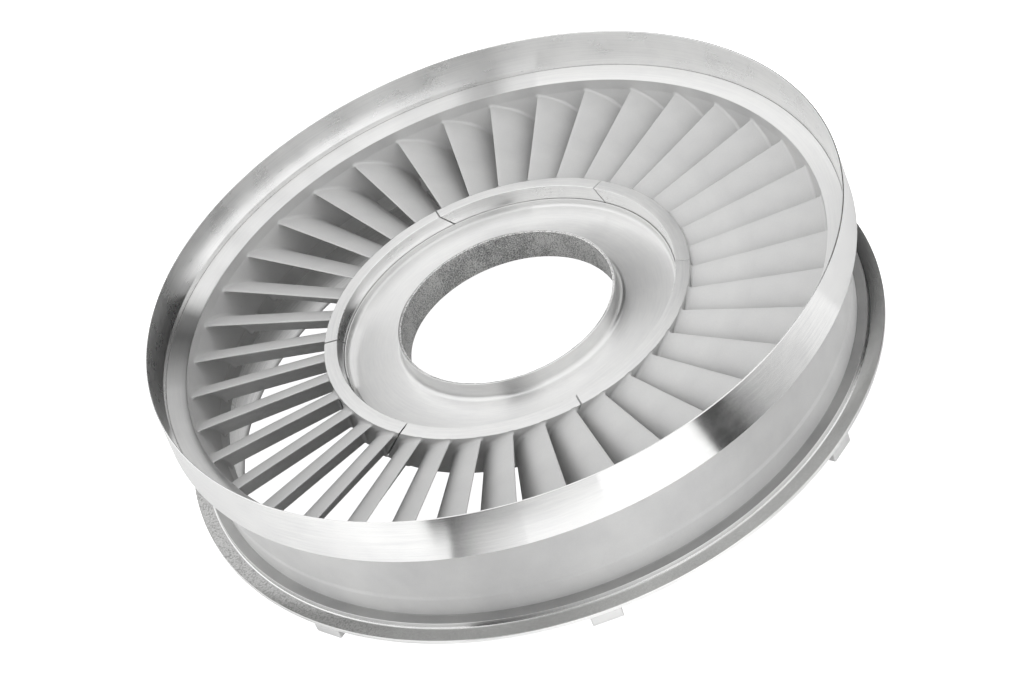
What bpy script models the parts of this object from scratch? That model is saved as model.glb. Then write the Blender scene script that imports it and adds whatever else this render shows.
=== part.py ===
"""Turbine nozzle guide vane ring, modelled standing on the rear edge of its skirt.

The frame is metres, +Z up along the ring's axis, towards the exit side with the tall rim.
The origin is on the axis, in the plane of the skirt's rear edge. Sizes below are millimetres.
"""

import math

import bmesh
import bpy
from mathutils import Matrix, Vector

MM = 0.001
GAP = 0.3  # between neighbouring pieces
RING_STEPS = 96

# Exit side rim, a turned band round the edge of the cast ring
RIM_TOP = 100.0
RIM_TOP_OUTER_R = 195.0
RIM_TOP_INNER_R = 194.1
RIM_FOOT = 73.0
RIM_FOOT_OUTER_R = 196.4
RIM_SEAT_R = 192.0

# Cast ring: ledge, flow path wall and outer wall
LEDGE_OUTER_HEIGHT = 77.6
LEDGE_INNER_HEIGHT = 75.1
LEDGE_INNER_R = 180.9
CONE_TOP = 68.0
LAND_FOOT = 31.8
LAND_FOOT_R = 172.1
WALL_R = 184.5
WALL_FOOT = 33.6
SHOULDER_NECK_R = 185.4
SHOULDER_NECK_HEIGHT = 31.8
SHOULDER_R = 191.2
SHOULDER_HEIGHT = 20.4
SHOULDER_FILLET = 2.2
SHOULDER_FOOT = 12.0

# Skirt at the inlet side, let into the cast ring's bore
SKIRT_INNER_R = 175.0
SKIRT_OUTER_R = 178.6

# Rear flange ring with its lugs
FLANGE_OUTER_R = 199.8
FLANGE_TOP = 17.3
FLANGE_FOOT = 14.9
FLANGE_HUB_R = 194.6
FLANGE_HUB_FOOT = 12.2
LUG_COUNT = 8
LUG_FIRST_ANGLE = -138.3
LUG_WIDTH = 16.5
LUG_INNER_R = 192.2
LUG_OUTER_R = 199.4
LUG_FOOT = 8.4

# Inner shroud, six segments parted by slanted slits
SHROUD_OUTER_R = 104.1
SHROUD_TOP_OUTER = 64.9
SHROUD_TOP_INNER = 65.6
SHROUD_TOP_INNER_R = 96.3
SHROUD_INNER_R = 95.3
SHROUD_INNER_EDGE = 57.6
SHROUD_FOOT = 39.0
SEGMENT_PITCHES = (6, 6, 7, 6, 6, 7)
FIRST_SLIT_PITCH = -2  # vane pitches from the first vane to the first segment's slit
SLIT_WIDTH = 1.0
SLIT_DEGREES_PER_MM = 0.452
SLIT_AFTER_EDGE = 2.25  # degrees from a vane's thin edge to the slit beside it

# Vanes: the thin exit edges face up, the round inlet edges face down
VANE_COUNT = 38
VANE_PITCH = 360.0 / VANE_COUNT
VANE_FIRST_ANGLE = 2.618
VANE_TIP_TOP = 68.0
VANE_HUB_TOP = 63.3
VANE_LEAN = -0.45  # degrees from the exit edge's outer end to its hub end
VANE_EDGE = 0.8
VANE_NOSE_TIP = 3.9
VANE_NOSE_HUB = 4.3
# Camber line's two bends and the nose's centre: along the turn, below the exit edge
VANE_CAMBER_TIP = ((4.3, 1.7), (27.0, 13.6), (27.8, 29.2))
VANE_CAMBER_HUB = ((15.6, 5.9), (16.9, 10.4), (18.9, 21.0))
VANE_STATIONS = 12
VANE_NOSE_STEPS = 5
VANE_SECTIONS = 3
VANE_END_GAP = 0.4  # to the cast wall

# Seal carrier disc, the thin lip ring in its bore, and the seal lining inside that
DISC_R = 95.0
DISC_EDGE_TOP = 57.2
DISC_FACE = 53.0
DISC_EDGE_FILLET = 4.2
DISC_BACK = 46.4
LIP_TOP = 62.9
LIP_TOP_R = 62.2
LIP_FOOT_R = 62.6
LIP_FILLET = 3.0
LIP_BORE_R = 61.4
DISC_HUB_R = 72.0
DISC_INNER_R = 62.9
BORE_FOOT = 43.8
LINING_OUTER_R = 61.1
LINING_INNER_R = 60.3
LINING_TOP = 62.4


def clear_scene():
    for item in list(bpy.data.objects):
        bpy.data.objects.remove(item, do_unlink=True)


def material(name, colour, roughness):
    made = bpy.data.materials.new(name)
    made.use_nodes = True
    shader = made.node_tree.nodes["Principled BSDF"]
    shader.inputs["Base Color"].default_value = (*colour, 1.0)
    shader.inputs["Metallic"].default_value = 1.0
    shader.inputs["Roughness"].default_value = roughness
    made.diffuse_color = (*colour, 1.0)
    return made


def add_object(name, mesh, finish, parent):
    made = bpy.data.objects.new(name, mesh)
    bpy.context.scene.collection.objects.link(made)
    if not mesh.materials:
        mesh.materials.append(finish)
    made.parent = parent
    return made


def finish_mesh(name, shape):
    """A closed bmesh, in millimetres, as a smooth shaded mesh in metres."""
    bmesh.ops.recalc_face_normals(shape, faces=shape.faces[:])
    bmesh.ops.scale(shape, vec=(MM, MM, MM), verts=shape.verts[:])
    mesh = bpy.data.meshes.new(name)
    shape.to_mesh(mesh)
    shape.free()
    mesh.shade_smooth()
    mesh.set_sharp_from_angle(angle=math.radians(30))
    return mesh


def arc(centre_r, centre_z, radius, start, end, steps):
    """Points (radius, height) along an arc, with its angles in degrees from the outward direction."""
    points = []
    for step in range(steps + 1):
        angle = math.radians(start + (end - start) * step / steps)
        points.append((centre_r + radius * math.cos(angle), centre_z + radius * math.sin(angle)))
    return points


def turned_mesh(name, outline):
    """A closed outline of (radius, height) points spun once round the axis."""
    shape = bmesh.new()
    verts = [shape.verts.new((radius, 0.0, height)) for radius, height in outline]
    edges = [shape.edges.new((verts[i - 1], verts[i])) for i in range(len(verts))]
    bmesh.ops.spin(
        shape,
        geom=verts + edges,
        cent=(0, 0, 0),
        axis=(0, 0, 1),
        angle=math.tau,
        steps=RING_STEPS,
        use_merge=True,
    )
    bmesh.ops.remove_doubles(shape, verts=shape.verts[:], dist=0.001)
    return finish_mesh(name, shape)


def rim_outline():
    return [
        (RIM_TOP_INNER_R, RIM_TOP),
        (RIM_TOP_OUTER_R, RIM_TOP),
        (RIM_FOOT_OUTER_R, RIM_FOOT),
        (RIM_SEAT_R, RIM_FOOT),
        (RIM_SEAT_R, LEDGE_OUTER_HEIGHT),
    ]


def cast_ring_outline():
    fillet = arc(
        SHOULDER_NECK_R + SHOULDER_FILLET, SHOULDER_HEIGHT + SHOULDER_FILLET, SHOULDER_FILLET, 180, 270, 3
    )
    return [
        (LEDGE_INNER_R, LEDGE_INNER_HEIGHT),
        (RIM_SEAT_R - GAP, LEDGE_OUTER_HEIGHT),
        (RIM_SEAT_R - GAP, RIM_FOOT + GAP),
        (WALL_R, RIM_FOOT + GAP),
        (WALL_R, WALL_FOOT),
        (SHOULDER_NECK_R, SHOULDER_NECK_HEIGHT),
        *fillet,
        (SHOULDER_R, SHOULDER_HEIGHT),
        (SHOULDER_R, SHOULDER_FOOT),
        (SKIRT_OUTER_R + GAP, SHOULDER_FOOT),
        (SKIRT_OUTER_R + GAP, LAND_FOOT),
        (LAND_FOOT_R, LAND_FOOT),
        (LEDGE_INNER_R, CONE_TOP),
    ]


def skirt_outline():
    return [
        (SKIRT_INNER_R, 0.0),
        (SKIRT_OUTER_R, 0.0),
        (SKIRT_OUTER_R, LAND_FOOT - GAP),
        (SKIRT_INNER_R, LAND_FOOT - GAP),
    ]


def flange_outline():
    return [
        (SHOULDER_R + GAP, FLANGE_TOP),
        (FLANGE_OUTER_R, FLANGE_TOP),
        (FLANGE_OUTER_R, FLANGE_FOOT),
        (FLANGE_HUB_R, FLANGE_FOOT),
        (FLANGE_HUB_R, FLANGE_HUB_FOOT),
        (SHOULDER_R + GAP, FLANGE_HUB_FOOT),
    ]


def disc_outline():
    edge_r = DISC_R - 0.5
    edge_fillet = arc(
        edge_r - DISC_EDGE_FILLET, DISC_FACE + DISC_EDGE_FILLET, DISC_EDGE_FILLET, 0, -90, 4
    )
    lip_fillet = arc(DISC_INNER_R + LIP_FILLET, DISC_FACE + LIP_FILLET, LIP_FILLET, 270, 220, 3)
    return [
        (DISC_R, DISC_BACK),
        (DISC_R, DISC_EDGE_TOP),
        *edge_fillet,
        *lip_fillet,
        (DISC_INNER_R, lip_fillet[-1][1]),
        (DISC_INNER_R, BORE_FOOT),
        (DISC_HUB_R, BORE_FOOT),
        (DISC_HUB_R, DISC_BACK),
    ]


def lip_outline():
    return [
        (LIP_BORE_R, BORE_FOOT),
        (LIP_FOOT_R, BORE_FOOT),
        (LIP_TOP_R, LIP_TOP),
        (LIP_BORE_R, LIP_TOP),
    ]


def lining_outline():
    return [
        (LINING_INNER_R, BORE_FOOT),
        (LINING_OUTER_R, BORE_FOOT),
        (LINING_OUTER_R, LINING_TOP),
        (LINING_INNER_R, LINING_TOP),
    ]


def lug_helper(parent):
    """The eight lugs as one hidden mesh, which a Boolean joins to the flange ring."""
    shape = bmesh.new()
    middle = (LUG_INNER_R + LUG_OUTER_R) / 2
    top = FLANGE_FOOT + 1.0
    size = Vector((LUG_OUTER_R - LUG_INNER_R, LUG_WIDTH, top - LUG_FOOT))
    for index in range(LUG_COUNT):
        angle = math.radians(LUG_FIRST_ANGLE + index * 360.0 / LUG_COUNT)
        turn = Matrix.Rotation(angle, 4, "Z")
        place = Matrix.Translation((middle, 0, (top + LUG_FOOT) / 2))
        bmesh.ops.create_cube(shape, size=1.0, matrix=turn @ place @ Matrix.Diagonal((*size, 1.0)))
    helper = add_object("lug_helper", finish_mesh("lug_helper", shape), None, parent)
    helper.hide_render = True
    helper.display_type = "WIRE"
    return helper


def vane_end_radius(height):
    """How far out a vane reaches: a gap inside the cone of the cast wall."""
    slope = (LEDGE_INNER_R - LAND_FOOT_R) / (CONE_TOP - LAND_FOOT)
    return LAND_FOOT_R + slope * (height - LAND_FOOT) - VANE_END_GAP


def vane_section(camber, nose_width):
    """Suction and pressure points (along the turn, below the exit edge) of one vane section, paired."""
    start = Vector((0.0, VANE_EDGE / 2))
    first, second, nose = camber
    pairs = []
    for station in range(VANE_STATIONS):
        t = station / (VANE_STATIONS - 1)
        u = 1 - t
        centre = start * u**3 + first * 3 * t * u**2 + second * 3 * t**2 * u + nose * t**3
        along = ((first - start) * u**2 + (second - first) * 2 * t * u + (nose - second) * t**2).normalized()
        across = Vector((along.y, -along.x))
        half = (VANE_EDGE + (nose_width - VANE_EDGE) * math.sin(t * math.pi / 2) ** 0.9) / 2
        pairs.append((centre + across * half, centre - across * half))
    for step in range(1, VANE_NOSE_STEPS):
        turn = math.pi / 2 * step / VANE_NOSE_STEPS
        ahead = nose + along * math.sin(turn) * nose_width / 2
        side = across * math.cos(turn) * nose_width / 2
        pairs.append((ahead + side, ahead - side))
    return pairs


def vane_mesh():
    """One vane with its exit edge's outer end at angle 0, lofted from the hub to the flow path wall."""
    shape = bmesh.new()
    sections = []
    for index in range(VANE_SECTIONS):
        share = index / (VANE_SECTIONS - 1)
        camber = [Vector(a).lerp(Vector(b), share) for a, b in zip(VANE_CAMBER_HUB, VANE_CAMBER_TIP)]
        width = VANE_NOSE_HUB + (VANE_NOSE_TIP - VANE_NOSE_HUB) * share
        top = VANE_HUB_TOP + (VANE_TIP_TOP - VANE_HUB_TOP) * share
        lean = math.radians(VANE_LEAN) * (1 - share)
        rows = []
        for pair in vane_section(camber, width):
            row = []
            for turned, below in pair:
                height = top - below
                inner = SHROUD_OUTER_R + GAP
                outer = vane_end_radius(height)
                radius = inner + (outer - inner) * share
                angle = lean - turned / radius
                row.append(shape.verts.new((radius * math.cos(angle), radius * math.sin(angle), height)))
            rows.append(row)
        sections.append(rows)
    for rows in (sections[0], sections[-1]):
        for one, two in zip(rows, rows[1:]):
            shape.faces.new((one[0], one[1], two[1], two[0]))
    for low, high in zip(sections, sections[1:]):
        for side in (0, 1):
            for i in range(len(low) - 1):
                shape.faces.new((low[i][side], low[i + 1][side], high[i + 1][side], high[i][side]))
        for i in (0, -1):
            shape.faces.new((low[i][0], low[i][1], high[i][1], high[i][0]))
    bmesh.ops.triangulate(shape, faces=shape.faces[:])
    return finish_mesh("vane", shape)


def shroud_segment_mesh(pitches):
    """A segment over so many vane pitches, from angle 0, its ends sheared along the slits."""
    shape = bmesh.new()
    outline = [
        (SHROUD_OUTER_R, SHROUD_FOOT),
        (SHROUD_OUTER_R, SHROUD_TOP_OUTER),
        (SHROUD_TOP_INNER_R, SHROUD_TOP_INNER),
        (SHROUD_INNER_R, SHROUD_INNER_EDGE),
        (SHROUD_INNER_R, SHROUD_FOOT),
    ]
    slit = math.degrees(SLIT_WIDTH / SHROUD_OUTER_R)
    steps = pitches * 3
    rings = []
    for step in range(steps + 1):
        share = step / steps
        angle = slit / 2 + (pitches * VANE_PITCH - slit) * share
        ring = []
        for radius, height in outline:
            turned = math.radians(angle + SLIT_DEGREES_PER_MM * (height - SHROUD_TOP_INNER))
            ring.append(shape.verts.new((radius * math.cos(turned), radius * math.sin(turned), height)))
        rings.append(ring)
    for one, two in zip(rings, rings[1:]):
        for i in range(len(outline)):
            shape.faces.new((one[i - 1], one[i], two[i], two[i - 1]))
    shape.faces.new(rings[0])
    shape.faces.new(rings[-1])
    bmesh.ops.triangulate(shape, faces=shape.faces[:])
    return finish_mesh(f"inner_shroud_{pitches}_pitches", shape)


def build():
    clear_scene()
    turned_steel = material("turned_steel", (0.80, 0.80, 0.79), 0.22)
    cast_alloy = material("cast_alloy", (0.66, 0.66, 0.65), 0.5)
    seal_felt = material("porous_seal", (0.42, 0.42, 0.41), 0.75)

    axis = bpy.data.objects.new("ring_axis", None)
    bpy.context.scene.collection.objects.link(axis)

    turned = (
        ("rim_band", rim_outline(), turned_steel),
        ("cast_ring", cast_ring_outline(), cast_alloy),
        ("rear_skirt", skirt_outline(), turned_steel),
        ("rear_flange", flange_outline(), turned_steel),
        ("seal_carrier_disc", disc_outline(), turned_steel),
        ("bore_lip", lip_outline(), turned_steel),
        ("bore_seal_lining", lining_outline(), seal_felt),
    )
    pieces = {}
    for name, outline, finish in turned:
        pieces[name] = add_object(name, turned_mesh(name, outline), finish, axis)
    joined = pieces["rear_flange"].modifiers.new("lugs", "BOOLEAN")
    joined.operation = "UNION"
    joined.solver = "EXACT"
    joined.object = lug_helper(axis)

    vane = vane_mesh()
    for index in range(VANE_COUNT):
        piece = add_object(f"vane_{index + 1:02d}", vane, cast_alloy, axis)
        piece.rotation_euler.z = math.radians(VANE_FIRST_ANGLE + index * VANE_PITCH)

    segments = {}
    for pitches in set(SEGMENT_PITCHES):
        segments[pitches] = shroud_segment_mesh(pitches)
    passed = FIRST_SLIT_PITCH
    for index, pitches in enumerate(SEGMENT_PITCHES):
        piece = add_object(f"inner_shroud_{index + 1}", segments[pitches], cast_alloy, axis)
        start = VANE_FIRST_ANGLE + SLIT_AFTER_EDGE + passed * VANE_PITCH
        piece.rotation_euler.z = math.radians(start)
        passed += pitches


build()
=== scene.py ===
"""Looks of the turbine nozzle guide vane ring: fine surfaces, finishes, studio light and camera."""

import math

import bmesh
import bpy
from mathutils import Matrix, Vector


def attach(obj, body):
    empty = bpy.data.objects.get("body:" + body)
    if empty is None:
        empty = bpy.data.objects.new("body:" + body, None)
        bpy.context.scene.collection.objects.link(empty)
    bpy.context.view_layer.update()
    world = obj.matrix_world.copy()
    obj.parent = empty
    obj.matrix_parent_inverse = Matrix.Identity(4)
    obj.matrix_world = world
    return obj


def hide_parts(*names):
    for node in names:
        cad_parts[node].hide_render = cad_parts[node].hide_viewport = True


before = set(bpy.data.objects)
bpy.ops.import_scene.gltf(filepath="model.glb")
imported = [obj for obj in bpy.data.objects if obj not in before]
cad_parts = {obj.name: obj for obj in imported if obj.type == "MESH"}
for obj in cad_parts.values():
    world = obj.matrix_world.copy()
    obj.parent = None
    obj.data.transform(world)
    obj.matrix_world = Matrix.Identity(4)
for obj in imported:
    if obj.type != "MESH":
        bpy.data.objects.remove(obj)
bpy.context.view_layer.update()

MM = 0.001
RING_STEPS = 384
SMOOTH_ANGLE = math.radians(32)

# Heights and radii in millimetres, as in the CAD
RIM_TOP = 100.0
RIM_TOP_OUTER_R = 195.0
RIM_TOP_INNER_R = 194.1
RIM_FOOT = 73.0
RIM_FOOT_OUTER_R = 196.4
RIM_SEAT_R = 192.0
LEDGE_OUTER_HEIGHT = 77.6
LEDGE_INNER_HEIGHT = 75.1
LEDGE_INNER_R = 180.9
CONE_TOP = 68.0
LAND_TOP = 41.5
LAND_TOP_R = 174.2
LAND_FOOT = 31.8
LAND_FOOT_R = 172.1
WALL_R = 184.5
WALL_FOOT = 33.6
SHOULDER_NECK_R = 185.4
SHOULDER_NECK_HEIGHT = 31.8
SHOULDER_R = 191.2
SHOULDER_HEIGHT = 20.4
SHOULDER_FOOT = 12.0
SKIRT_INNER_R = 175.0
SKIRT_OUTER_R = 178.6
FLANGE_OUTER_R = 199.8
FLANGE_TOP = 17.3
FLANGE_FOOT = 14.9
FLANGE_HUB_R = 194.6
FLANGE_HUB_FOOT = 12.2
LUG_COUNT = 8
LUG_FIRST_ANGLE = -138.3
LUG_WIDTH = 16.5
LUG_INNER_R = 192.2
LUG_OUTER_R = 199.4
LUG_FOOT = 8.4
SHROUD_OUTER_R = 104.1
SHROUD_TOP_OUTER = 64.9
SHROUD_TOP_INNER = 65.6
SHROUD_TOP_INNER_R = 96.3
SHROUD_INNER_R = 95.3
SHROUD_INNER_EDGE = 57.6
SHROUD_FOOT = 39.0
SEGMENT_PITCHES = (6, 6, 7, 6, 6, 7)
FIRST_SLIT_PITCH = -2
SLIT_WIDTH = 1.0
SLIT_DEGREES_PER_MM = 0.452
SLIT_AFTER_EDGE = 2.25
VANE_COUNT = 38
VANE_PITCH = 360.0 / VANE_COUNT
VANE_FIRST_ANGLE = 2.618
VANE_TIP_TOP = 68.0
VANE_HUB_TOP = 63.3
VANE_LEAN = -0.45
VANE_EDGE = 0.8
VANE_NOSE_TIP = 3.9
VANE_NOSE_HUB = 4.3
VANE_CAMBER_TIP = ((4.3, 1.7), (27.0, 13.6), (27.8, 29.2))
VANE_CAMBER_HUB = ((15.6, 5.9), (16.9, 10.4), (18.9, 21.0))
DISC_R = 95.0
DISC_EDGE_TOP = 57.2
DISC_FACE = 53.0
DISC_BACK = 46.4
DISC_HUB_R = 72.0
LIP_TOP = 62.9
LIP_TOP_R = 62.2
LIP_FOOT_R = 62.6
LIP_BORE_R = 61.4
BORE_FOOT = 43.8
LINING_INNER_R = 60.3
LINING_TOP = 62.4

# The studio: a white tent with one dark opening, in degrees round from +X and up from level
TENT_LIGHT = 1.02
TENT_LOW = 0.82
TENT_TOP = 1.2
# The floor under the ring is a darker grey: painted shade where the ring covers it.
FLOOR_PAINTED_SHADE_UNDER_RING = 0.6
FLOOR_SHADE = 0.9
OPENING_LIGHT = 0.03
GLOW = 0.6
GLOW_INNER_R = 156.0
GLOW_OUTER_R = 172.0
GLOW_LEFT_FROM = -30.0
GLOW_LEFT_TO = -90.0
FRONT_GLOW = 0.24
FRONT_GLOW_SIDES = ((-150.0, 0.75), (60.0, 1.45))
FRONT_GLOW_INNER_R = 198.0
FRONT_GLOW_FROM = -120.0
FRONT_GLOW_TO = -220.0
OPENING_AZIMUTH = 47.0
OPENING_ELEVATION = 16.5
OPENING_HALF_WIDTH = 37.5
OPENING_HALF_HEIGHT = 31.0
OPENING_POWER = 8.0
OPENING_EDGE = (0.6, 1.5)

# Cards that show only in glossy surfaces: the light along the turn, as (degrees round, light)
CARD_NEAR_R = 224.0
CARD_STANDING_R = 322.0
CARD_HEIGHT = 900.0
CARD_GAP = 0.2
RIGHT_CARD_FAR_R = 620.0
LEFT_CARD = ((-118.2, 0.2), (-116.5, 0.33), (-114.5, 0.5), (-112.5, 0.66), (-108.0, 0.84), (-103.0, 1.0))
LEFT_CARD_STANDING = ((-122.0, 0.05), (-117.0, 0.08), (-108.0, 0.3), (-97.0, 0.6), (-86.0, 0.85))
RIGHT_CARD = (
    (-62.5, 0.0), (-55.5, 0.0), (-52.0, 0.24), (-48.0, 0.44), (-43.5, 0.52), (-39.5, 0.63), (-35.0, 0.68),
    (-31.0, 0.8), (-27.0, 0.88), (-20.0, 1.0),
)

# Small cards close over the ledge and the disc, each as (degrees round, light) from above and below
LEDGE_CARD = (180.0, 193.3, 80.5)
LEDGE_CARD_TOP = (
    (69.0, 0.7), (74.0, 0.6), (77.0, 0.4), (80.0, 0.5), (86.0, 0.75), (92.0, 0.85), (98.0, 1.0), (140.0, 1.0),
    (144.0, 0.75), (147.0, 0.35), (149.5, 0.2), (150.5, 0.0), (160.0, 0.0), (170.0, 0.02), (178.0, 0.08),
    (183.5, 0.15),
    (187.0, 0.7), (225.0, 0.8),
)
LEDGE_CARD_UNDER = (
    (69.0, 0.95), (74.0, 0.8), (77.5, 0.52), (80.5, 0.6), (85.0, 0.9), (90.0, 1.0), (147.0, 0.95), (150.0, 0.7), (153.0, 0.2), (158.0, 0.1), (163.0, 0.2), (167.0, 0.36), (172.0, 0.5),
    (178.0, 0.58), (186.0, 0.64), (205.0, 0.68), (225.0, 0.8),
)
DISC_CARD = (89.0, 94.8, 57.7)
DISC_CARD_TOP = (
    (69.0, 0.75), (73.0, 0.6), (76.0, 0.2), (79.0, 0.3), (84.0, 0.7), (90.0, 0.85), (96.0, 1.0), (138.0, 1.0), (142.0, 0.6), (146.0, 0.0), (158.0, 0.0), (166.0, 0.04), (174.0, 0.3), (180.0, 0.7))
DISC_CARD_UNDER = ((69.0, 0.95), (180.0, 0.95))

# Fine shapes that the CAD leaves out
TIP_FILLET = 1.8
HUB_FILLET = 2.0
VANE_STATIONS = 22
VANE_NOSE_STEPS = 7
VANE_SPAN_STEPS = 14
VANE_FILLET_STEPS = 6
FLANGE_COVE = 0.9

# The flange's face is pitted and darker towards its left side
PITTED_FROM = -110.0
PITTED_TO = -140.0
DARKER_LEFT_FROM = -60.0
DARKER_LEFT_TO = -120.0


class Finish:
    """A material's node tree, with short calls for the nodes that the finishes share."""

    def __init__(self, name, colour, metallic, roughness):
        self.material = bpy.data.materials.new(name)
        self.material.use_nodes = True
        self.tree = self.material.node_tree
        self.shader = self.tree.nodes["Principled BSDF"]
        self.set("Base Color", (*colour, 1.0))
        self.set("Metallic", metallic)
        self.set("Roughness", roughness)
        self.material.diffuse_color = (*colour, 1.0)

    def set(self, socket, value):
        self.shader.inputs[socket].default_value = value

    def node(self, kind, **values):
        made = self.tree.nodes.new(kind)
        for key, value in values.items():
            if key in made.inputs:
                made.inputs[key].default_value = value
            else:
                setattr(made, key, value)
        return made

    def link(self, source, target):
        self.tree.links.new(source, target)

    def place(self):
        return self.node("ShaderNodeTexCoord").outputs["Object"]

    def maths(self, operation, first, second=None):
        made = self.node("ShaderNodeMath", operation=operation)
        for index, value in enumerate((first, second)):
            if value is None:
                continue
            if isinstance(value, (int, float)):
                made.inputs[index].default_value = value
            else:
                self.link(value, made.inputs[index])
        return made.outputs[0]

    def noise(self, where, scale, detail=2.0, roughness=0.5):
        made = self.node("ShaderNodeTexNoise", Scale=scale, Detail=detail, Roughness=roughness)
        self.link(where, made.inputs["Vector"])
        return made.outputs["Fac"]

    def ramp(self, value, low, high, out_low=0.0, out_high=1.0):
        made = self.node("ShaderNodeMapRange")
        made.inputs["From Min"].default_value = low
        made.inputs["From Max"].default_value = high
        made.inputs["To Min"].default_value = out_low
        made.inputs["To Max"].default_value = out_high
        self.link(value, made.inputs["Value"])
        return made.outputs["Result"]

    def turned_place(self, across, along):
        """Coordinates that run round the axis: fine across the lathe's marks, long along them."""
        split = self.node("ShaderNodeSeparateXYZ")
        self.link(self.place(), split.inputs[0])
        x, y, z = split.outputs
        squares = self.maths("ADD", self.maths("MULTIPLY", x, x), self.maths("MULTIPLY", y, y))
        radius = self.maths("SQRT", squares)
        depth = self.maths("ADD", radius, self.maths("MULTIPLY", z, 1.7))
        joined = self.node("ShaderNodeCombineXYZ")
        self.link(self.maths("MULTIPLY", self.maths("DIVIDE", x, radius), along), joined.inputs[0])
        self.link(self.maths("MULTIPLY", self.maths("DIVIDE", y, radius), along), joined.inputs[1])
        self.link(self.maths("MULTIPLY", depth, across), joined.inputs[2])
        return joined.outputs[0]

    def tint(self, value, dark, light):
        """Base colour between two greys, by a value from 0 to 1."""
        made = self.node("ShaderNodeMix", data_type="RGBA")
        self.link(value, made.inputs["Factor"])
        made.inputs[6].default_value = (*dark, 1.0)
        made.inputs[7].default_value = (*light, 1.0)
        self.link(made.outputs[2], self.shader.inputs["Base Color"])

    def bump(self, height, strength, distance):
        made = self.node("ShaderNodeBump", Strength=strength, Distance=distance)
        self.link(height, made.inputs["Height"])
        self.link(made.outputs[0], self.shader.inputs["Normal"])

    def circling(self, anisotropy):
        """Gloss stretched across the lathe's marks, which run round the axis."""
        self.set("Anisotropic", anisotropy)
        self.set("Anisotropic Rotation", 0.25)
        across = self.node("ShaderNodeVectorMath", operation="CROSS_PRODUCT")
        across.inputs[0].default_value = (0.0, 0.0, 1.0)
        self.link(self.place(), across.inputs[1])
        made = self.node(
            "ShaderNodeVectorTransform", vector_type="VECTOR", convert_from="OBJECT", convert_to="WORLD"
        )
        self.link(across.outputs[0], made.inputs[0])
        self.link(made.outputs[0], self.shader.inputs["Tangent"])


def turned_finish(name, dark, light, roughness, groove=0.12, anisotropy=0.6, wear=0.08):
    """Lathe-turned steel: fine marks round the axis, cloudy handling marks and faint scratches."""
    finish = Finish(name, light, 1.0, roughness)
    marks = finish.noise(finish.turned_place(1100.0, 5.0), 1.0, 1.0, 0.5)
    brushed = finish.noise(finish.turned_place(620.0, 11.0), 1.0, 3.0, 0.65)
    clouds = finish.noise(finish.place(), 42.0, 4.0, 0.6)
    lines = finish.maths("ADD", finish.maths("MULTIPLY", marks, 0.35), finish.maths("MULTIPLY", brushed, 0.2))
    value = finish.maths("ADD", lines, finish.maths("MULTIPLY", clouds, 0.45))
    finish.tint(finish.ramp(value, 0.36, 0.62), dark, light)
    worn = finish.maths("ADD", finish.maths("MULTIPLY", clouds, 0.75), finish.maths("MULTIPLY", brushed, 0.25))
    rough = finish.ramp(worn, 0.35, 0.65, roughness - wear, roughness + wear)
    finish.link(rough, finish.shader.inputs["Roughness"])
    finish.bump(marks, groove, 0.00012)
    finish.circling(anisotropy)
    return finish.material


def cast_finish(name, dark, light, roughness, grain=0.22):
    """Investment cast alloy, blasted: an even fine grain, soft clouds and a few dark specks."""
    finish = Finish(name, light, 0.85, roughness)
    place = finish.place()
    grain_noise = finish.noise(place, 2300.0, 2.0, 0.6)
    clouds = finish.noise(place, 26.0, 4.0, 0.55)
    value = finish.maths("ADD", finish.maths("MULTIPLY", grain_noise, 0.3), finish.maths("MULTIPLY", clouds, 0.7))
    specks = finish.node("ShaderNodeTexVoronoi", Scale=95.0)
    finish.link(place, specks.inputs["Vector"])
    rare = finish.maths("GREATER_THAN", finish.noise(place, 31.0, 0.0), 0.69)
    spot = finish.maths("MULTIPLY", finish.maths("LESS_THAN", specks.outputs["Distance"], 0.055), rare)
    shade = finish.maths("SUBTRACT", finish.ramp(value, 0.36, 0.62), finish.maths("MULTIPLY", spot, 0.9))
    finish.tint(shade, dark, light)
    finish.bump(grain_noise, grain, 0.00012)
    return finish.material


def porous_finish():
    """The bore's seal strip: an open, speckled grey felt of sintered metal."""
    finish = Finish("porous_seal", (0.3, 0.3, 0.3), 1.0, 0.6)
    place = finish.place()
    cells = finish.node("ShaderNodeTexVoronoi", Scale=1150.0)
    finish.link(place, cells.inputs["Vector"])
    fine = finish.noise(place, 1500.0, 3.0, 0.7)
    patch = finish.noise(place, 60.0, 3.0, 0.6)
    value = finish.maths("ADD", finish.maths("MULTIPLY", fine, 0.75), finish.maths("MULTIPLY", patch, 0.25))
    finish.tint(finish.ramp(value, 0.4, 0.56), (0.32, 0.32, 0.32), (1.0, 1.0, 0.99))
    height = finish.maths("ADD", cells.outputs["Distance"], finish.maths("MULTIPLY", fine, 0.8))
    finish.bump(height, 0.55, 0.0004)
    return finish.material


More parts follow.
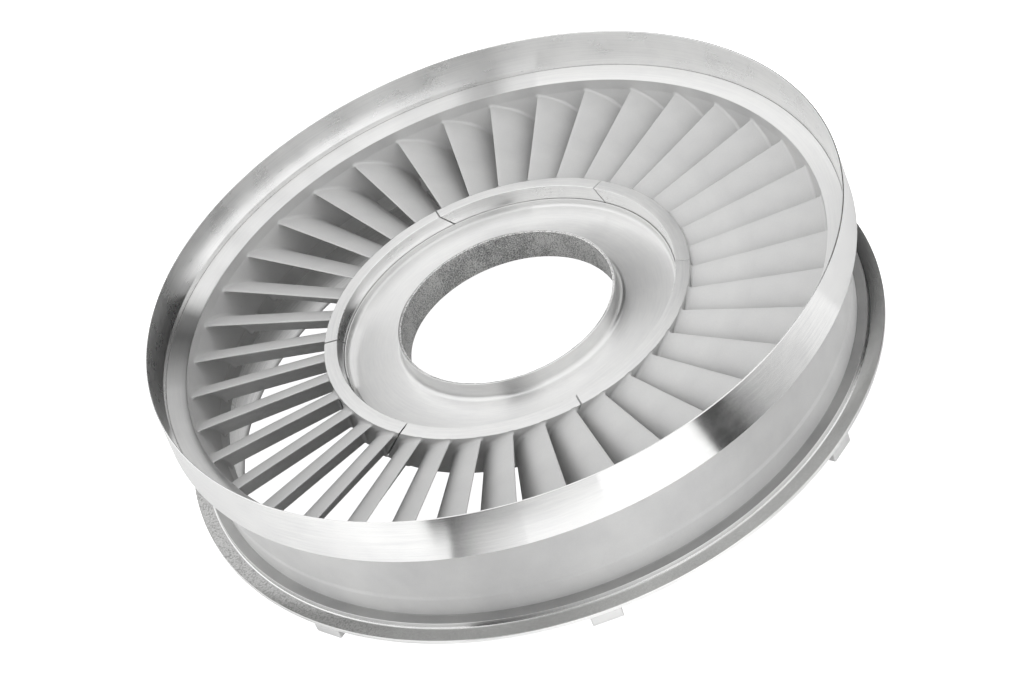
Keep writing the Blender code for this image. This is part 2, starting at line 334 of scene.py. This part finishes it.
def gritty_finish():
    """The flange's face: plain grey steel with the grit of a hot joint face, darker towards its left side."""
    finish = Finish("flange_steel", (0.5, 0.5, 0.5), 1.0, 0.22)
    place = finish.place()
    grit = finish.noise(place, 1300.0, 3.0, 0.7)
    patch = finish.noise(place, 16.0, 3.0, 0.6)
    value = finish.maths("ADD", finish.maths("MULTIPLY", grit, 0.6), finish.maths("MULTIPLY", patch, 0.4))
    split = finish.node("ShaderNodeSeparateXYZ")
    finish.link(place, split.inputs[0])
    pitted = finish.ramp(split.outputs["X"], PITTED_FROM * MM, PITTED_TO * MM)
    # Colour darker towards the flange's left side, by place alone.
    darker_left = finish.ramp(split.outputs["X"], DARKER_LEFT_FROM * MM, DARKER_LEFT_TO * MM, 0.0, 0.26)
    pits = finish.ramp(finish.noise(place, 1000.0, 1.0), 0.48, 0.64, 0.0, 0.24)
    marks = finish.maths("ADD", finish.maths("MULTIPLY", pits, pitted), darker_left)
    shade = finish.maths("SUBTRACT", finish.ramp(value, 0.36, 0.64, 0.72, 1.0), marks)
    finish.tint(shade, (0.1, 0.1, 0.1), (0.75, 0.75, 0.74))
    finish.bump(grit, 0.12, 0.0003)
    return finish.material


def add_piece(name, mesh, materials, slot, *nodes):
    """A piece that stands for those CAD nodes, riding on the ring's one body."""
    piece = bpy.data.objects.new(name, mesh)
    bpy.context.scene.collection.objects.link(piece)
    if not mesh.materials:
        for made in materials:
            mesh.materials.append(made)
    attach(piece, "root")
    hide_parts(*nodes)
    return piece


def finish_mesh(name, shape):
    bmesh.ops.recalc_face_normals(shape, faces=shape.faces[:])
    bmesh.ops.scale(shape, vec=(MM, MM, MM), verts=shape.verts[:])
    mesh = bpy.data.meshes.new(name)
    shape.to_mesh(mesh)
    shape.free()
    mesh.shade_smooth()
    mesh.set_sharp_from_angle(angle=SMOOTH_ANGLE)
    return mesh


def rounded_outline(corners):
    """A closed outline from corners (radius, height, rounding, finish index), each rounded by an arc."""
    points = []
    for index, (r, z, rounding, finish) in enumerate(corners):
        here = Vector((r, z))
        before = Vector(corners[index - 1][:2])
        after = Vector(corners[(index + 1) % len(corners)][:2])
        to_before = (before - here).normalized()
        to_after = (after - here).normalized()
        angle = to_before.angle(to_after)
        if rounding <= 0.0 or angle > math.radians(178):
            points.append((here, finish))
            continue
        reach = min(
            rounding / math.tan(angle / 2), 0.45 * (before - here).length, 0.45 * (after - here).length
        )
        radius = reach * math.tan(angle / 2)
        centre = here + (to_before + to_after).normalized() * radius / math.sin(angle / 2)
        first = here + to_before * reach - centre
        last = here + to_after * reach - centre
        sweep = math.pi - angle
        steps = max(2, min(8, int(math.degrees(sweep) / 12)))
        for step in range(steps + 1):
            share = step / steps
            blend = (
                math.sin((1 - share) * sweep) * first + math.sin(share * sweep) * last
            ) / math.sin(sweep) if math.sin(sweep) > 1e-6 else first.lerp(last, share)
            blend = blend.normalized() * radius
            points.append((centre + blend, finish))
    return points


def turned_mesh(name, corners, steps=RING_STEPS):
    """Corners spun round the axis. A corner's finish index counts for the surface after it."""
    outline = rounded_outline(corners)
    shape = bmesh.new()
    rings = []
    for step in range(steps):
        angle = math.tau * step / steps
        c, s = math.cos(angle), math.sin(angle)
        rings.append([shape.verts.new((p.x * c, p.x * s, p.y)) for p, _ in outline])
    for step in range(steps):
        here, there = rings[step], rings[(step + 1) % steps]
        for i in range(len(outline)):
            j = (i + 1) % len(outline)
            face = shape.faces.new((here[i], there[i], there[j], here[j]))
            face.material_index = outline[i][1]
    return finish_mesh(name, shape)


def cone_radius(height):
    """The flow path's outer wall: straight under the ledge, then a cone down to the land."""
    if height >= CONE_TOP:
        return LEDGE_INNER_R
    if height >= LAND_TOP:
        return LAND_TOP_R + (LEDGE_INNER_R - LAND_TOP_R) * (height - LAND_TOP) / (CONE_TOP - LAND_TOP)
    return LAND_FOOT_R + (LAND_TOP_R - LAND_FOOT_R) * (height - LAND_FOOT) / (LAND_TOP - LAND_FOOT)


def vane_loop(camber, nose_width):
    """One vane section as a closed loop of (place, outward normal), from the exit edge round the nose."""
    start = Vector((0.0, VANE_EDGE / 2))
    first, second, nose = camber
    suction, pressure = [], []
    for station in range(VANE_STATIONS):
        t = (station / (VANE_STATIONS - 1)) ** 0.9
        u = 1 - t
        centre = start * u**3 + first * 3 * t * u**2 + second * 3 * t**2 * u + nose * t**3
        along = ((first - start) * u**2 + (second - first) * 2 * t * u + (nose - second) * t**2).normalized()
        across = Vector((along.y, -along.x))
        half = (VANE_EDGE + (nose_width - VANE_EDGE) * math.sin(t * math.pi / 2) ** 0.9) / 2
        suction.append((centre + across * half, across))
        pressure.append((centre - across * half, -across))
    for step in range(1, VANE_NOSE_STEPS):
        turn = math.pi / 2 * step / VANE_NOSE_STEPS
        for side, way in ((suction, across), (pressure, -across)):
            normal = along * math.sin(turn) + way * math.cos(turn)
            side.append((nose + normal * nose_width / 2, normal))
    tip = [(nose + along * nose_width / 2, along)]
    first_along = (first - start).normalized()
    edge = []
    for step in (1, 2, 3):
        turn = math.pi * step / 4
        normal = Vector((-first_along.y, first_along.x)) * math.cos(turn) - first_along * math.sin(turn)
        edge.append((start + normal * VANE_EDGE / 2, normal))
    return suction + tip + pressure[::-1] + edge


def span_shares():
    """Places from hub (0) to wall (1) as millimetres from either end: dense within the fillets."""
    places = []
    for step in range(VANE_FILLET_STEPS + 1):
        places.append(("hub", HUB_FILLET * (1 - math.cos(math.pi / 2 * step / VANE_FILLET_STEPS))))
    for step in range(1, VANE_SPAN_STEPS):
        places.append(("middle", step / VANE_SPAN_STEPS))
    for step in range(VANE_FILLET_STEPS, -1, -1):
        places.append(("tip", TIP_FILLET * (1 - math.cos(math.pi / 2 * step / VANE_FILLET_STEPS))))
    return places


def vane_mesh():
    """A vane from hub to wall, flaring out at both ends in a root fillet that meets them flat."""
    shape = bmesh.new()
    inner = SHROUD_OUTER_R
    rows = []
    for kind, value in span_shares():
        reach = LEDGE_INNER_R - inner
        if kind == "hub":
            share, depth, fillet = value / reach, value, HUB_FILLET
        elif kind == "tip":
            share, depth, fillet = 1 - value / reach, value, TIP_FILLET
        else:
            low, high = HUB_FILLET / reach, 1 - TIP_FILLET / reach
            share, depth, fillet = low + (high - low) * value, 0.0, 0.0
        flare = fillet - math.sqrt(max(0.0, fillet**2 - (fillet - depth) ** 2)) if fillet else 0.0
        camber = [Vector(a).lerp(Vector(b), share) for a, b in zip(VANE_CAMBER_HUB, VANE_CAMBER_TIP)]
        width = VANE_NOSE_HUB + (VANE_NOSE_TIP - VANE_NOSE_HUB) * share
        top = VANE_HUB_TOP + (VANE_TIP_TOP - VANE_HUB_TOP) * share
        lean = math.radians(VANE_LEAN) * (1 - share)
        row = []
        for place, normal in vane_loop(camber, width):
            place = place + normal * flare
            height = top - place.y
            wall = cone_radius(height)
            radius = wall - depth if kind == "tip" else inner + (wall - inner) * share
            angle = lean - place.x / radius
            row.append(shape.verts.new((radius * math.cos(angle), radius * math.sin(angle), height)))
        rows.append(row)
    for one, two in zip(rows, rows[1:]):
        for i in range(len(one)):
            j = (i + 1) % len(one)
            shape.faces.new((one[i], one[j], two[j], two[i]))
    shape.faces.new(rows[0])
    shape.faces.new(rows[-1])
    return finish_mesh("vane_fine", shape)


def shroud_mesh(pitches):
    """A shroud segment over so many pitches, its ends sheared along the slits, corners softened."""
    shape = bmesh.new()
    corners = (
        (SHROUD_OUTER_R, SHROUD_FOOT, 0.4, 0),
        (SHROUD_OUTER_R, SHROUD_TOP_OUTER, 0.35, 3),
        (SHROUD_TOP_INNER_R, SHROUD_TOP_INNER, 0.3, 2),
        (SHROUD_INNER_R, SHROUD_INNER_EDGE, 0.25, 1),
        (SHROUD_INNER_R, SHROUD_FOOT, 0.4, 0),
    )
    outline = rounded_outline(corners)
    slit = math.degrees(SLIT_WIDTH / SHROUD_OUTER_R)
    steps = pitches * 10
    rings = []
    for step in range(steps + 1):
        share = step / steps
        angle = slit / 2 + (pitches * VANE_PITCH - slit) * share
        ring = []
        for point, _ in outline:
            turned = math.radians(angle + SLIT_DEGREES_PER_MM * (point.y - SHROUD_TOP_INNER))
            ring.append(shape.verts.new((point.x * math.cos(turned), point.x * math.sin(turned), point.y)))
        rings.append(ring)
    for one, two in zip(rings, rings[1:]):
        for i in range(len(outline)):
            j = (i + 1) % len(outline)
            face = shape.faces.new((one[i], one[j], two[j], two[i]))
            face.material_index = outline[i][1]
    shape.faces.new(rings[0])
    shape.faces.new(rings[-1])
    return finish_mesh(f"shroud_fine_{pitches}", shape)


def lug_mesh():
    """The lugs under the flange as rounded blocks."""
    shape = bmesh.new()
    middle = (LUG_INNER_R + LUG_OUTER_R) / 2
    top = FLANGE_FOOT + 0.4
    size = Vector((LUG_OUTER_R - LUG_INNER_R, LUG_WIDTH, top - LUG_FOOT))
    for index in range(LUG_COUNT):
        angle = math.radians(LUG_FIRST_ANGLE + index * 360.0 / LUG_COUNT)
        turn = Matrix.Rotation(angle, 4, "Z")
        place = Matrix.Translation((middle, 0, (top + LUG_FOOT) / 2))
        bmesh.ops.create_cube(shape, size=1.0, matrix=turn @ place @ Matrix.Diagonal((*size, 1.0)))
    bmesh.ops.bevel(
        shape, geom=shape.edges[:], offset=0.7, segments=3, affect="EDGES", profile=0.5
    )
    return finish_mesh("lugs_fine", shape)


turned = turned_finish("turned_steel", (0.84, 0.84, 0.84), (0.96, 0.96, 0.95), 0.21, 0.03, 0.85, 0.04)
bored = turned_finish("bored_steel", (0.86, 0.86, 0.86), (0.97, 0.97, 0.96), 0.29, 0.04, 0.85, 0.04)
polished = turned_finish("polished_steel", (0.7, 0.7, 0.7), (0.93, 0.93, 0.92), 0.24, 0.04, 0.8, 0.04)
satin = turned_finish("satin_face", (0.8, 0.8, 0.8), (0.87, 0.87, 0.86), 0.33, 0.02, 0.85, 0.03)
faced = turned_finish("faced_steel", (0.8, 0.8, 0.8), (0.9, 0.9, 0.89), 0.52, 0.02, 0.5, 0.03)
# The shoulder's step gets a darker grey than the cast wall: painted shade of the corner under the wall and the
# rim's overhang, over the real cast grain.
blasted = cast_finish("step_painted_shade", (0.38, 0.38, 0.38), (0.47, 0.47, 0.465), 0.55)
cast = cast_finish("cast_alloy", (0.67, 0.67, 0.67), (0.75, 0.75, 0.745), 0.72)
seal = porous_finish()
flange = gritty_finish()



OUTSIDE, INSIDE = 0, 1
rim = turned_mesh(
    "rim_band_fine",
    (
        (RIM_TOP_INNER_R, RIM_TOP, 0.3, OUTSIDE),
        (RIM_TOP_OUTER_R, RIM_TOP, 0.3, OUTSIDE),
        (RIM_FOOT_OUTER_R, RIM_FOOT, 0.35, OUTSIDE),
        (RIM_SEAT_R, RIM_FOOT, 0.2, OUTSIDE),
        (RIM_SEAT_R, LEDGE_OUTER_HEIGHT, 0.0, INSIDE),
    ),
)
add_piece("rim_band_fine", rim, (turned, bored), "turned_steel", "rim_band")

CAST, MACHINED, STEP = 0, 1, 2
ring = turned_mesh(
    "cast_ring_fine",
    (
        (LEDGE_INNER_R, LEDGE_INNER_HEIGHT, 0.5, MACHINED),
        (RIM_SEAT_R - 0.05, LEDGE_OUTER_HEIGHT, 0.35, CAST),
        (RIM_SEAT_R - 0.05, RIM_FOOT + 0.1, 0.1, CAST),
        (WALL_R, RIM_FOOT + 0.1, 0.8, CAST),
        (WALL_R, WALL_FOOT, 1.5, CAST),
        (SHOULDER_NECK_R, SHOULDER_NECK_HEIGHT, 1.5, CAST),
        # The shoulder's top takes the step finish, whose darker grey is painted shade.
        (SHOULDER_NECK_R, SHOULDER_HEIGHT, 0.4, STEP),
        (SHOULDER_R, SHOULDER_HEIGHT, 0.25, MACHINED),
        (SHOULDER_R, SHOULDER_FOOT, 0.4, MACHINED),
        (SKIRT_OUTER_R + 0.1, SHOULDER_FOOT, 0.4, CAST),
        (SKIRT_OUTER_R + 0.1, LAND_FOOT, 0.1, MACHINED),
        (LAND_FOOT_R, LAND_FOOT, 0.3, MACHINED),
        (LAND_TOP_R, LAND_TOP, 0.0, CAST),
        (LEDGE_INNER_R, CONE_TOP, 3.0, CAST),
    ),
)
add_piece("cast_ring_fine", ring, (cast, satin, blasted), "cast_alloy", "cast_ring")

skirt = turned_mesh(
    "rear_skirt_fine",
    (
        (SKIRT_INNER_R, 0.0, 0.4, 0),
        (SKIRT_OUTER_R, 0.0, 0.4, 0),
        (SKIRT_OUTER_R, LAND_FOOT - 0.1, 0.1, 0),
        (SKIRT_INNER_R, LAND_FOOT - 0.1, 0.1, 0),
    ),
)
add_piece("rear_skirt_fine", skirt, (polished,), "turned_steel", "rear_skirt")

FACE, EDGE = 0, 1
flange_ring = turned_mesh(
    "rear_flange_fine",
    (
        (SHOULDER_R + 0.05, FLANGE_TOP + FLANGE_COVE, 0.0, EDGE),
        (SHOULDER_R + 0.3, FLANGE_TOP + 0.35 * FLANGE_COVE, 0.0, EDGE),
        (SHOULDER_R + 0.05 + FLANGE_COVE, FLANGE_TOP, 0.0, FACE),
        (FLANGE_OUTER_R, FLANGE_TOP, 0.25, EDGE),
        (FLANGE_OUTER_R, FLANGE_FOOT, 0.25, FACE),
        (FLANGE_HUB_R, FLANGE_FOOT, 0.5, FACE),
        (FLANGE_HUB_R, FLANGE_HUB_FOOT, 0.3, FACE),
        (SHOULDER_R + 0.05, FLANGE_HUB_FOOT, 0.2, FACE),
    ),
)
add_piece("rear_flange_fine", flange_ring, (flange, turned), "flange_steel", "rear_flange")
add_piece("rear_lugs_fine", lug_mesh(), (satin,), "flange_steel", "rear_flange")

disc = turned_mesh(
    "seal_carrier_disc_fine",
    (
        (DISC_R, DISC_BACK, 0.4, 0),
        (DISC_R, DISC_EDGE_TOP, 0.25, 0),
        (DISC_R - 0.6, DISC_EDGE_TOP, 0.3, 0),
        (DISC_R - 0.7, DISC_FACE, 4.0, 0),
        (LIP_FOOT_R, DISC_FACE, 3.0, 0),
        (LIP_TOP_R, LIP_TOP, 0.25, 0),
        (LIP_BORE_R, LIP_TOP, 0.25, 0),
        (LIP_BORE_R, BORE_FOOT, 0.3, 0),
        (DISC_HUB_R, BORE_FOOT, 0.5, 0),
        (DISC_HUB_R, DISC_BACK, 1.2, 0),
    ),
)
add_piece("seal_carrier_disc_fine", disc, (satin,), "turned_steel", "seal_carrier_disc", "bore_lip")

lining = turned_mesh(
    "bore_seal_lining_fine",
    (
        (LINING_INNER_R, BORE_FOOT, 0.15, 0),
        (LIP_BORE_R - 0.02, BORE_FOOT, 0.1, 0),
        (LIP_BORE_R - 0.02, LINING_TOP, 0.1, 0),
        (LINING_INNER_R, LINING_TOP, 0.15, 0),
    ),
)
add_piece("bore_seal_lining_fine", lining, (seal,), "porous_seal", "bore_seal_lining")

vane = vane_mesh()
for index in range(VANE_COUNT):
    number = f"{index + 1:02d}"
    piece = add_piece(f"vane_{number}_fine", vane, (cast,), "cast_alloy", f"vane_{number}")
    piece.rotation_euler.z = math.radians(VANE_FIRST_ANGLE + index * VANE_PITCH)

segments = {pitches: shroud_mesh(pitches) for pitches in sorted(set(SEGMENT_PITCHES))}
passed = FIRST_SLIT_PITCH
for index, pitches in enumerate(SEGMENT_PITCHES):
    number = index + 1
    piece = add_piece(
        f"inner_shroud_{number}_fine", segments[pitches], (cast, satin, bored, faced), "shroud_steel", f"inner_shroud_{number}"
    )
    piece.rotation_euler.z = math.radians(VANE_FIRST_ANGLE + SLIT_AFTER_EDGE + passed * VANE_PITCH)
    passed += pitches


def add_floor():
    shape = bmesh.new()
    bmesh.ops.create_grid(shape, x_segments=2, y_segments=2, size=4.0)
    mesh = bpy.data.meshes.new("studio_floor")
    shape.to_mesh(mesh)
    shape.free()
    finish = Finish("studio_floor", (0.9, 0.9, 0.9), 0.0, 0.8)
    cloud = finish.noise(finish.place(), 3.0, 2.0)
    far = finish.node("ShaderNodeVectorMath", operation="LENGTH")
    finish.link(finish.place(), far.inputs[0])
    # The floor's colour is darker under the ring: painted shade where the ring covers it.
    open_floor = finish.ramp(far.outputs["Value"], GLOW_OUTER_R * MM, (GLOW_OUTER_R + 2) * MM)
    shade = finish.maths("MULTIPLY", open_floor, finish.ramp(cloud, 0.0, 1.0, 0.97, 1.0))
    finish.tint(shade, (FLOOR_PAINTED_SHADE_UNDER_RING,) * 3, (FLOOR_SHADE,) * 3)
    finish.set("Emission Color", (1.0, 1.0, 1.0, 1.0))
    seen = finish.node("ShaderNodeLightPath").outputs["Is Camera Ray"]
    inside = finish.ramp(far.outputs["Value"], GLOW_INNER_R * MM, (GLOW_INNER_R + 15) * MM)
    within = finish.ramp(far.outputs["Value"], GLOW_OUTER_R * MM, (GLOW_OUTER_R + 2) * MM, 1.0, 0.0)
    split = finish.node("ShaderNodeSeparateXYZ")
    finish.link(finish.place(), split.inputs[0])
    left = finish.ramp(split.outputs["X"], GLOW_LEFT_FROM * MM, GLOW_LEFT_TO * MM)
    ring = finish.maths("MULTIPLY", finish.maths("MULTIPLY", inside, within), left)
    outside = finish.ramp(far.outputs["Value"], FRONT_GLOW_INNER_R * MM, (FRONT_GLOW_INNER_R + 8) * MM)
    front = finish.ramp(split.outputs["Y"], FRONT_GLOW_FROM * MM, FRONT_GLOW_TO * MM, 0.0, FRONT_GLOW)
    (left_x, left_share), (right_x, right_share) = FRONT_GLOW_SIDES
    sides = finish.ramp(split.outputs["X"], left_x * MM, right_x * MM, left_share, right_share)
    ahead = finish.maths("MULTIPLY", finish.maths("MULTIPLY", outside, front), sides)
    glow = finish.maths("ADD", finish.maths("MULTIPLY", ring, GLOW), ahead)
    light = finish.maths("MAXIMUM", seen, glow)
    finish.link(light, finish.shader.inputs["Emission Strength"])
    mesh.materials.append(finish.material)
    floor = bpy.data.objects.new("studio_floor", mesh)
    bpy.context.scene.collection.objects.link(floor)


def direction(azimuth, elevation):
    turn, rise = math.radians(azimuth), math.radians(elevation)
    return Vector((math.cos(turn) * math.cos(rise), math.sin(turn) * math.cos(rise), math.sin(rise)))


def add_world():
    """A white tent with one soft-edged dark opening, low at the right back."""
    world = bpy.data.worlds.new("studio")
    world.use_nodes = True
    bpy.context.scene.world = world
    tree = world.node_tree

    def maths(operation, first, second):
        made = tree.nodes.new("ShaderNodeMath")
        made.operation = operation
        for socket, value in zip(made.inputs, (first, second)):
            if isinstance(value, (int, float)):
                socket.default_value = value
            else:
                tree.links.new(value, socket)
        return made.outputs[0]

    way = tree.nodes.new("ShaderNodeTexCoord").outputs["Generated"]

    def along(axis):
        made = tree.nodes.new("ShaderNodeVectorMath")
        made.operation = "DOT_PRODUCT"
        tree.links.new(way, made.inputs[0])
        made.inputs[1].default_value = axis
        return made.outputs["Value"]

    middle = direction(OPENING_AZIMUTH, OPENING_ELEVATION)
    side = direction(OPENING_AZIMUTH + 90, 0.0)
    ahead = maths("MAXIMUM", along(middle), 0.02)
    reach = 0.0
    for axis, half in ((side, OPENING_HALF_WIDTH), (middle.cross(side), OPENING_HALF_HEIGHT)):
        share = maths("DIVIDE", maths("DIVIDE", along(axis), ahead), math.tan(math.radians(half)))
        reach = maths("ADD", maths("POWER", maths("ABSOLUTE", share, 0.0), OPENING_POWER), reach)
    edge = tree.nodes.new("ShaderNodeMapRange")
    edge.interpolation_type = "SMOOTHSTEP"
    edge.inputs["From Min"].default_value = OPENING_EDGE[0]
    edge.inputs["From Max"].default_value = OPENING_EDGE[1]
    edge.inputs["To Min"].default_value = OPENING_LIGHT
    edge.inputs["To Max"].default_value = TENT_LIGHT
    tree.links.new(reach, edge.inputs["Value"])
    rise = tree.nodes.new("ShaderNodeMapRange")
    rise.inputs["To Min"].default_value = TENT_LOW
    rise.inputs["To Max"].default_value = TENT_TOP
    tree.links.new(along((0.0, 0.0, 1.0)), rise.inputs["Value"])
    background = tree.nodes["Background"]
    background.inputs["Color"].default_value = (1.0, 1.0, 1.0, 1.0)
    light = maths("MULTIPLY", edge.outputs["Result"], rise.outputs["Result"])
    tree.links.new(light, background.inputs["Strength"])


def add_card(name, profile, inner, outer):
    """A card that shows only in glossy surfaces, between two edges that are each (radius, height)."""
    first, last = profile[0][0], profile[-1][0]
    steps = int((last - first) / 0.5)
    points, faces, lights = [], [], []
    for step in range(steps + 1):
        azimuth = first + (last - first) * step / steps
        for (low, dark), (high, light) in zip(profile, profile[1:]):
            if low <= azimuth <= high:
                shade = dark + (light - dark) * (azimuth - low) / (high - low)
        for radius, height in (inner, outer):
            points.append((direction(azimuth, 0.0) * radius + Vector((0.0, 0.0, height))) * MM)
            lights.append(shade * TENT_LIGHT)
        if step:
            faces.append((2 * step - 2, 2 * step - 1, 2 * step + 1, 2 * step))
    mesh = bpy.data.meshes.new(name)
    mesh.from_pydata(points, [], faces)
    mesh.attributes.new("light", "FLOAT", "POINT").data.foreach_set("value", lights)
    finish = Finish(name, (0.02, 0.02, 0.02), 0.0, 0.9)
    light = finish.node("ShaderNodeAttribute", attribute_name="light").outputs["Fac"]
    mottle = finish.ramp(finish.noise(finish.place(), 60.0), 0.0, 1.0, 0.8, 1.1)
    finish.set("Emission Color", (1.0, 1.0, 1.0, 1.0))
    finish.link(finish.maths("MULTIPLY", light, mottle), finish.shader.inputs["Emission Strength"])
    mesh.materials.append(finish.material)
    card = bpy.data.objects.new(name, mesh)
    card.visible_camera = False
    card.visible_diffuse = False
    card.visible_shadow = False
    bpy.context.scene.collection.objects.link(card)


def add_camera():
    """The photograph's view: 39 degrees down onto the ring, rolled 22 degrees."""
    elevation = 0.6800136
    roll = -0.3829235
    back = Vector((0.0, -math.cos(elevation), math.sin(elevation)))
    right = Vector((1.0, 0.0, 0.0))
    up = Vector((0.0, math.sin(elevation), math.cos(elevation)))
    rolled_right = math.cos(roll) * right + math.sin(roll) * up
    rolled_up = -math.sin(roll) * right + math.cos(roll) * up
    data = bpy.data.cameras.new("photo_camera")
    data.sensor_width = 36.0
    data.lens = 89.26
    camera = bpy.data.objects.new("photo_camera", data)
    turn = Matrix((rolled_right, rolled_up, back)).transposed().to_4x4()
    camera.matrix_world = Matrix.Translation((-0.004136, -1.089723, 0.918735)) @ turn
    bpy.context.scene.collection.objects.link(camera)
    bpy.context.scene.camera = camera


add_floor()
add_world()
add_card("left_card", LEFT_CARD, (CARD_NEAR_R, 1.0), (CARD_STANDING_R, 1.0))
add_card("left_card_standing", LEFT_CARD_STANDING, (CARD_STANDING_R, 1.0), (CARD_STANDING_R, CARD_HEIGHT))
add_card("right_card", RIGHT_CARD, (CARD_NEAR_R, 1.0), (RIGHT_CARD_FAR_R, 1.0))
for name, (low_r, high_r, height), top, under in (
    ("ledge_card", LEDGE_CARD, LEDGE_CARD_TOP, LEDGE_CARD_UNDER),
    ("disc_card", DISC_CARD, DISC_CARD_TOP, DISC_CARD_UNDER),
):
    add_card(name + "_top", top, (low_r, height), (high_r, height))
    add_card(name + "_under", under, (low_r, height - CARD_GAP), (high_r, height - CARD_GAP))
add_camera()
bpy.context.scene.view_settings.view_transform = "Standard"
